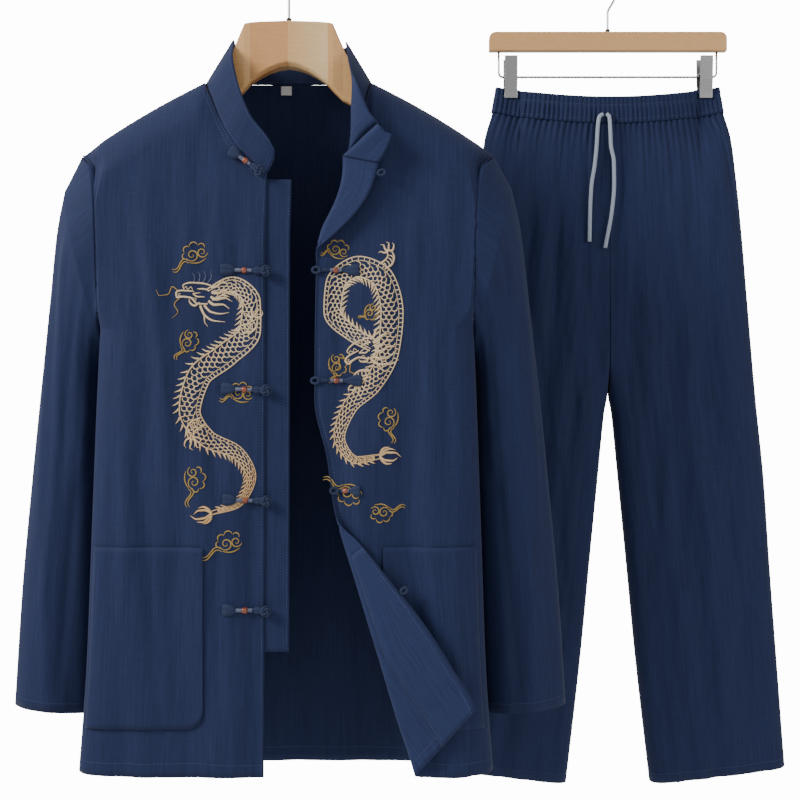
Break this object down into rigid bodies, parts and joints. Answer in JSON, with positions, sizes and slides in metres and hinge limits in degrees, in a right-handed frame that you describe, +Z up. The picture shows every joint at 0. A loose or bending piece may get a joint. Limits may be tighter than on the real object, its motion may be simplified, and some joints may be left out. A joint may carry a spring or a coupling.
{
  "type": "tang suit on a shaped hanger and a clip hanger",
  "caption": "Open stand-collar jacket with knotted frog closings and patch pockets on a wooden hanger, with gathered-waist trousers on a clip hanger behind it.",
  "frame": {"origin": "inner top of the jacket hanger's hook, where a rail carries it", "axes": "+Z up, +X towards the wearer's left, +Y from the front of the garments to their back"},
  "size_m": [0.9678, 0.2747, 1.0766],
  "materials": {
    "cloth": "matt cotton and linen, fine upright slubs",
    "facing": "inner side of the same cloth",
    "frog": "rolled and knotted cloth cord",
    "label": "woven white label, bare",
    "drawstring": "round braided cord",
    "wood": "varnished",
    "steel": "satin"
  },
  "bodies": {
    "root": {"back": "cloth", "front_right": "cloth", "front_left": "cloth", "sleeve_right": "cloth", "sleeve_left": "cloth", "collar": "cloth", "pocket_right": "cloth", "pocket_left": "cloth", "facing_upper": "facing", "facing_lower": "facing", "underlap": "cloth", "size_label": "label", "frog_button_1": "frog", "frog_button_2": "frog", "frog_button_3": "frog", "frog_button_4": "frog", "frog_button_5": "frog", "frog_loop_1": "frog", "frog_loop_2": "frog", "frog_loop_3": "frog", "frog_loop_4": "frog", "frog_loop_5": "frog", "jacket_hanger": "wood", "jacket_hook_wire": "steel", "trouser_front_right": "cloth", "trouser_front_left": "cloth", "trouser_back_right": "cloth", "trouser_back_left": "cloth", "waistband": "cloth", "drawstring_right": "drawstring", "drawstring_left": "drawstring", "trouser_hanger": "wood", "trouser_hook_wire": "steel", "trouser_wire": "steel", "clip_right": "steel", "clip_left": "steel"}
  },
  "joints": []
}
